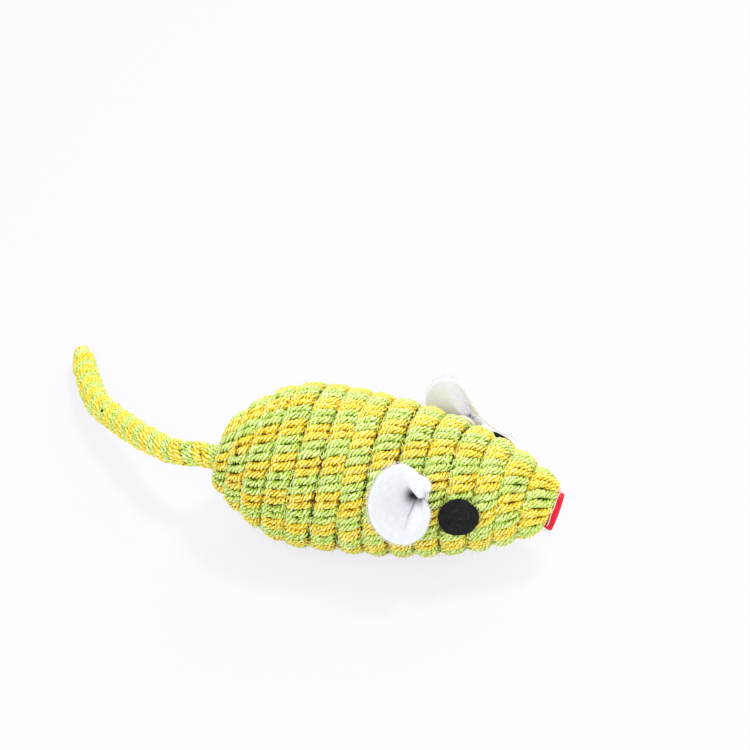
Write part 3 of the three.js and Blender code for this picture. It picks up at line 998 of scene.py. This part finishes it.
def earShapeAt(degrees):
    rows = ear["shape"]
    at = clamp(bisect.bisect([row[0] for row in rows], degrees), 1, len(rows) - 1)
    low, high = rows[at - 1:at + 1]
    before = rows[at - 2] if at > 1 else (rows[-2][0] - 360, *rows[-2][1:])
    after = rows[at + 1] if at + 1 < len(rows) else (rows[1][0] + 360, *rows[1][1:])
    gap = high[0] - low[0]
    values = []
    for p0, p1, p2, p3 in zip(before[1:], low[1:], high[1:], after[1:]):
        leave, reach = (p2 - p0) / (high[0] - before[0]) * gap, (p3 - p1) / (after[0] - low[0]) * gap
        values.append(hermite(p1, p2, leave, reach, (degrees - low[0]) / gap))
    return values


def pinchOf(side):
    return ear["at"] + (felt["leftForward"] if side > 0 else 0), radians(ear["angle"])


def mirrored(point, side):
    return Vector((point.x, -side * point.y, point.z))


# A point of an ear, from its pinch (share 0) to its rim (share 1), and how much painted shade it gets.
def earSpot(side, share, degrees):
    at, angle = pinchOf(side)
    rim, hollow, reach, bulge = earShapeAt(degrees)
    turn = radians(degrees)
    rimAhead = reach * (ear["forward"] - ear["length"] / 2 + ear["length"] / 2 * cos(turn))
    rimAbove = reach * (ear["up"] - ear["height"] / 2 + ear["height"] / 2 * sin(turn))
    pinch, slit = Vector(ear["pinch"]), Vector(ear["slit"])
    spot = pinch.lerp(Vector((rimAhead, rimAbove)), share)
    lift = 2 * felt["seat"] + felt["glue"] + rim * share ** hollow
    lift += bulge * sin(pi * share ** 0.45)
    direction, width = ear["groove"]
    across = ((degrees - direction + 180) % 360 - 180) / width
    deep, *where = ear["grooveDeep"]
    lift -= deep * exp(-across * across) * within(share, *where)
    x = at + spot.x
    angle += spot.y / outlineAt(at)[0]
    along = clamp((spot - pinch).dot(slit - pinch) / (slit - pinch).length_squared)
    # Painted shade round the slit and along the pleat, taken off where the flap and the front are lit.
    far, fade = ear["shade"]
    shade = (1 - smooth(0, far, (spot - pinch.lerp(slit, along)).length)) ** fade
    dark, *where = ear["grooveShade"]
    shade += dark * exp(-ear["grooveLine"] * across * across) * within(share, *where)
    for rise, fall, amount in ear["lit"]:
        shade *= 1 - amount * within(degrees, rise, fall)
    return mirrored(surfaceAt(x, angle) + normalAt(x, angle) * lift, side), shade


# A felt sheet as a grid of rings and spokes, closed at its middle and down its seam.
def feltGrid(name, rings, spokes, spotAt):
    bm = bmesh.new()
    # Each point's painted shade, by which the white felt darkens.
    shadeLayer = bm.verts.layers.float.new("shade")
    bmesh.ops.create_grid(bm, x_segments=rings, y_segments=spokes, size=0.5)
    for vert in bm.verts:
        place, shade = spotAt((vert.co.x + 0.5) ** felt["ringsOut"], (vert.co.y + 0.5) * 360 + felt["seam"])
        vert.co = inFrame(place)
        vert[shadeLayer] = shade
    bmesh.ops.remove_doubles(bm, verts=bm.verts, dist=0.002 * mm)
    bmesh.ops.recalc_face_normals(bm, faces=bm.faces)
    for face in bm.faces:
        face.smooth = True
    return meshFrom(bm, name)


# Turns the sheet's faces to the outer side, then gives it its thickness.
def thicken(obj, outwards, thickness):
    mesh = obj.data
    if sum((face.normal * face.area for face in mesh.polygons), Vector()).dot(outwards) < 0:
        mesh.flip_normals()
    wall = obj.modifiers.new("thickness", "SOLIDIFY")
    wall.thickness = thickness * mm
    wall.offset = 1
    finer = obj.modifiers.new("softness", "SUBSURF")
    finer.levels = finer.render_levels = 1


# Any direction round a sheet, in degrees.
def anyTurn():
    return anyway(felt["seam"], felt["seam"] + 360)


# A felt piece, and the hairs that stand on its cut edge, away from its middle.
def buildFelt(name, part, spotAt, outwards, tone, edgeAt, middle):
    obj = dress(feltGrid(name, part["rings"], part["spokes"], spotAt), finishes[tone])
    thicken(obj, outwards, part["thickness"])
    paths = []
    for _ in range(part["hairs"]):
        root = edgeAt(anyTurn())
        direction = ((root - middle).normalized() + anyDirection() * felt["hairSpread"]).normalized()
        paths.append(hair(root, direction, anyway(*felt["hairLength"]), felt["hairRadius"]))
    hairs = sweepYarns(name.replace("felt", "hairs"), paths, hairProfile)
    return obj, dress(hairs, finishes[tone + "Hair"])


def buildEar(word, side):
    at, angle = pinchOf(side)
    outwards = mirrored(normalAt(at, angle), side)
    obj, hairs = buildFelt(
        "ear_felt_" + word, ear, lambda share, degrees: earSpot(side, share, degrees), outwards, "white",
        lambda degrees: earSpot(side, 1, degrees)[0] + outwards * anyway(*ear["hairsFrom"]),
        earSpot(side, 0.3, 200)[0])
    # The back of the ear takes a lighter, bluer copy of the white felt, painted light, without its painted
    # shade.
    obj.data.materials.append(finishes["whiteBack"])
    obj.modifiers["thickness"].material_offset = 1
    pinch = inFrame(earSpot(side, 0, 0)[0])
    for piece in (obj, hairs):
        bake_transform(piece)
    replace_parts(obj, "ear_" + word)


eye = {
    "at": 64.1,
    "angle": 11.4,
    "radius": 4.65,
    "thickness": 0.95,
    "bend": 0.85,  # how closely the felt follows the body
    "raised": (1.23, 0.4),  # above the body, at its middle and at its rim
    "rings": 14,
    "spokes": 90,
    "waves": ((5, 0, 0.012), (13, 1, 0.008)),  # of its rim
    "flat": 10,  # the square that it was cut from
    "hairs": 110,
    "hairsFrom": (0.1, 0.9),
    "scratches": 5,  # pale hairs that lie on its face
    "sunk": 1,  # mm by which the front of the left one is pressed in
    "sunkOver": (0.6, 1),  # shares of the way out
}


def buildEye(word, side):
    at = eye["at"] + (felt["leftForward"] if side > 0 else 0)
    seat = radians(eye["angle"])
    normal = normalAt(at, seat)
    middle = surfaceAt(at, seat)
    up = (surfaceAt(at, seat + 0.01) - surfaceAt(at, seat - 0.01)).normalized()
    along = up.cross(normal)

    def spotAt(share, degrees, raised=0):
        turn = radians(degrees)
        wave = waves([(rate, start * side, size) for rate, start, size in eye["waves"]], turn, 1)
        ahead = eye["radius"] * share * wave * cos(turn)
        above = eye["radius"] * share * wave * sin(turn)
        flat = middle + along * ahead + up * above
        x, angle = at + ahead, seat + above / outlineAt(at)[0]
        raised += lerp(*eye["raised"], share * share)
        if side > 0:
            raised -= eye["sunk"] * smooth(*eye["sunkOver"], share) * smooth(-0.7, 0.9, cos(turn))
        return mirrored(flat.lerp(surfaceAt(x, angle), eye["bend"]) + normal * raised, side), 0

    obj, hairs = buildFelt(
        "eye_felt_" + word, eye, spotAt, mirrored(normal, side), "black",
        lambda degrees: spotAt(1, degrees, anyway(*eye["hairsFrom"]))[0], spotAt(0, 0)[0])
    scratches = []
    for _ in range(eye["scratches"]):
        share, degrees = anyway(0.2, 0.8), anyTurn()
        corners = [spotAt(share, degrees, 1.0)[0]]
        for step in range(3):
            share, degrees = min(share + anyway(-0.12, 0.12), 0.9), degrees + anyway(4, 22)
            corners.append(spotAt(share, degrees, 1.02)[0])
        scratches.append(threadPath(corners, felt["hairRadius"], 3))
    lint = dress(sweepYarns("eye_lint_" + word, scratches, hairProfile), finishes["lint"])
    for piece in (obj, hairs, lint):
        fasten(piece)
    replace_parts(obj, "eye_" + word)


nose = {
    "radius": 4.75,
    "thickness": 2.2,
    "tilt": 11.5,
    "turned": 6,  # to the mouse's right
    "dome": 0.6,
    "rings": 12,
    "spokes": 90,
    "waves": ((4, 1, 0.014), (11, 0, 0.01)),
    "hairs": 170,
    "hairsFrom": (0.1, 1.8),
    "glueStrand": (125, -20),  # degrees round the disc between which the strand of glue shows
    "glueAt": (1.05, 0.95, 0.15),  # its share of the way out, how far forward, and how far it zigzags
    "glueRadius": 0.17,
}


def buildNose():
    low, high = (Vector(corner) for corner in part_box("nose"))
    middle = ((low + high) / 2 - bodyShift) / mm
    tilt, turned = radians(nose["tilt"]), radians(nose["turned"])
    up = Vector((sin(tilt), 0, cos(tilt)))
    ahead = cos(turned)
    normal = Vector((cos(tilt) * ahead, -sin(turned), -sin(tilt) * ahead))
    along = normal.cross(up)

    def spotAt(share, degrees, raised=0):
        turn = radians(degrees)
        reach = nose["radius"] * share * waves(nose["waves"], turn, 1)
        raised += nose["dome"] * (1 - share * share) * 0.5 - nose["thickness"] / 2
        return middle + (along * cos(turn) + up * sin(turn)) * reach + normal * raised, 0

    obj, hairs = buildFelt(
        "nose_felt", nose, spotAt, normal, "red",
        lambda degrees: spotAt(1, degrees, anyway(*nose["hairsFrom"]))[0], middle)
    share, forward, zigzag = nose["glueAt"]
    corners = [spotAt(share, lerp(*nose["glueStrand"], step / 6), forward + zigzag * (step % 2))[0]
               for step in range(7)]
    strand = dress(sweepYarns("glue_strand", [threadPath(corners, nose["glueRadius"])], threadProfile),
                   finishes["glue"])
    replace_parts(fasten(obj), "nose")
    fasten(hairs)
    fasten(strand)


def feltFinish(name, deep, light, depth, passing=0.0, shade=None):
    finish = Finish("felt_" + name)
    clumps = finish.noise(1.3 * mm, 4)
    fibres = finish.noise(0.14 * mm, 3, finish.place((1, 1, 0.45)))
    height = clumps * 0.45 + fibres * 0.55
    cover = finish.ramp(height, (0.34, deep), (0.6, light))
    if shade:
        # Painted shade: darker towards the shade tone where the shade attribute is high.
        cover = finish.mix(finish.attribute("shade") * (0.75 + height * 0.5), cover, (*shade, 1))
    finish.set(
        Base_Color=cover,
        Roughness=0.92,
        Normal=finish.bump(height, depth * mm, 0.7),
        Specular_IOR_Level=0.2,
        Subsurface_Weight=passing,
        Subsurface_Radius=(1, 1, 1),
        Subsurface_Scale=2.5 * mm,
    )
    return finish.material


def plainFinish(name, tone, roughness, specular=0.3):
    finish = Finish(name)
    grain = finish.noise(0.9 * mm, 3)
    darker = tuple(part * 0.86 for part in tone)
    finish.set(
        Base_Color=finish.ramp(grain, (0.3, darker), (0.7, tone)),
        Roughness=roughness + (grain - 0.5) * 0.1,
        Specular_IOR_Level=specular,
        Normal=finish.bump(grain, 0.05 * mm, 0.4),
    )
    return finish.material


# Felts by their deep and light tones, the depth of their grain in mm, how much light they let in, and for
# the white one the tone of its painted shade.
for key, name, deep, light, *rest in (
    ("white", "white", (209, 212, 219), (224, 227, 234), 0.16, 0.7, colour(16, 16, 18)),
    # A lighter, bluer copy of the white felt for the ear's back, painted light.
    ("whiteBack", "white_back", (222, 220, 246), (234, 232, 255), 0.1, 0.7),
    ("black", "black", (9, 9, 9), (32, 32, 32), 0.1),
    ("red", "red", (176, 14, 36), (232, 38, 62), 0.2),
):
    finishes[key] = feltFinish(name, colour(*deep), colour(*light), *rest)
# The rest by tone and roughness, and some by how far they shine.
for key, name, tone, *rest in (
    ("whiteHair", "hair_white", (248, 249, 253), 0.8),
    ("blackHair", "hair_black", (26, 26, 26), 0.8),
    ("redHair", "hair_red", (228, 90, 104), 0.8),
    ("lint", "lint", (96, 96, 96), 0.8),
    ("glue", "glue", (243, 241, 232), 0.35, 0.5),
    ("foam", "foam", (232, 228, 214), 0.9, 0.2),
    ("thread", "thread", (206, 166, 120), 0.7),
):
    finishes[key] = plainFinish(name, colour(*tone), *rest)

print("felt")
for word, side in (("right", -1), ("left", 1)):
    buildEar(word, side)
    buildEye(word, side)
buildNose()

# A long fine thread that lies from the left ear over the left eye.
looseThread = {
    "corners": [
        (60.4, 9.5, 39.3), (64.7, 10, 34.6), (68.9, 9, 32),
        (71.1, 8, 31.8), (73.1, 7, 32.1), (74.7, 6, 31.8),
    ],
    "radius": 0.07,
}


def buildLooseThread():
    corners = [Vector(corner) for corner in looseThread["corners"]]
    obj = sweepYarns("loose_thread", [threadPath(corners, looseThread["radius"], 6)], threadProfile)
    fasten(dress(obj, finishes["thread"]))


buildLooseThread()
for name, node in frame["nodes"].items():
    if "glue" in name:
        dress(node, finishes["glue"])
dress(frame["nodes"]["body_core"], finishes["foam"])
for profile in (pliedProfile, coreProfile, threadProfile, hairProfile):
    bpy.data.objects.remove(profile)


stageSizes = {
    "floor": 12,
    "floorTone": (0.9, 0.9, 0.9),
    "seenTone": (0.93, 0.92, 0.965),  # of the floor's own glow, which only the camera sees
    "seenShare": 0.85,
    "world": 0.72,
    "lamps": (  # name, place, size and power
        ("top", (0.25, 0.15, 0.8), 0.2, 3.4),
        ("front", (0, -0.8, 0.7), 0.7, 4.5),
        ("back", (0.15, 0.75, 0.4), 0.5, 1.8),
    ),
}


def buildFloor():
    bm = bmesh.new()
    bmesh.ops.create_grid(bm, x_segments=1, y_segments=1, size=stageSizes["floor"] / 2)
    obj = meshFrom(bm, "floor")
    finish = Finish("floor")
    finish.set(Base_Color=(*stageSizes["floorTone"], 1), Roughness=0.7)
    rays = [finish.node("ShaderNodeLightPath", output="Is " + kind + " Ray")
            for kind in ("Camera", "Glossy", "Transmission")]
    seen = rays[0] + rays[1] + rays[2]
    glow = finish.node("ShaderNodeEmission", sockets={"Color": (*stageSizes["seenTone"], 1), "Strength": 1})
    mixed = finish.node("ShaderNodeMixShader", sockets={
        0: seen * stageSizes["seenShare"], 1: Wire(finish, finish.shader.outputs[0]), 2: glow})
    finish.plug(finish.tree.nodes["Material Output"].inputs["Surface"], mixed)
    dress(obj, finish.material)


def buildLights():
    world = bpy.data.worlds.new("world")
    bpy.context.scene.world = world
    world.use_nodes = True
    sky = world.node_tree.nodes["Background"].inputs
    sky["Color"].default_value = (1, 1, 1, 1)
    sky["Strength"].default_value = stageSizes["world"]
    for name, place, size, power in stageSizes["lamps"]:
        data = bpy.data.lights.new(name, "AREA")
        data.size = size
        data.energy = power
        obj = link(bpy.data.objects.new(name, data))
        obj.location = place
        obj.rotation_euler = (-Vector(place)).to_track_quat("-Z", "Y").to_euler()


print("stage")
buildFloor()
buildLights()
bpy.context.scene.view_settings.view_transform = "Standard"
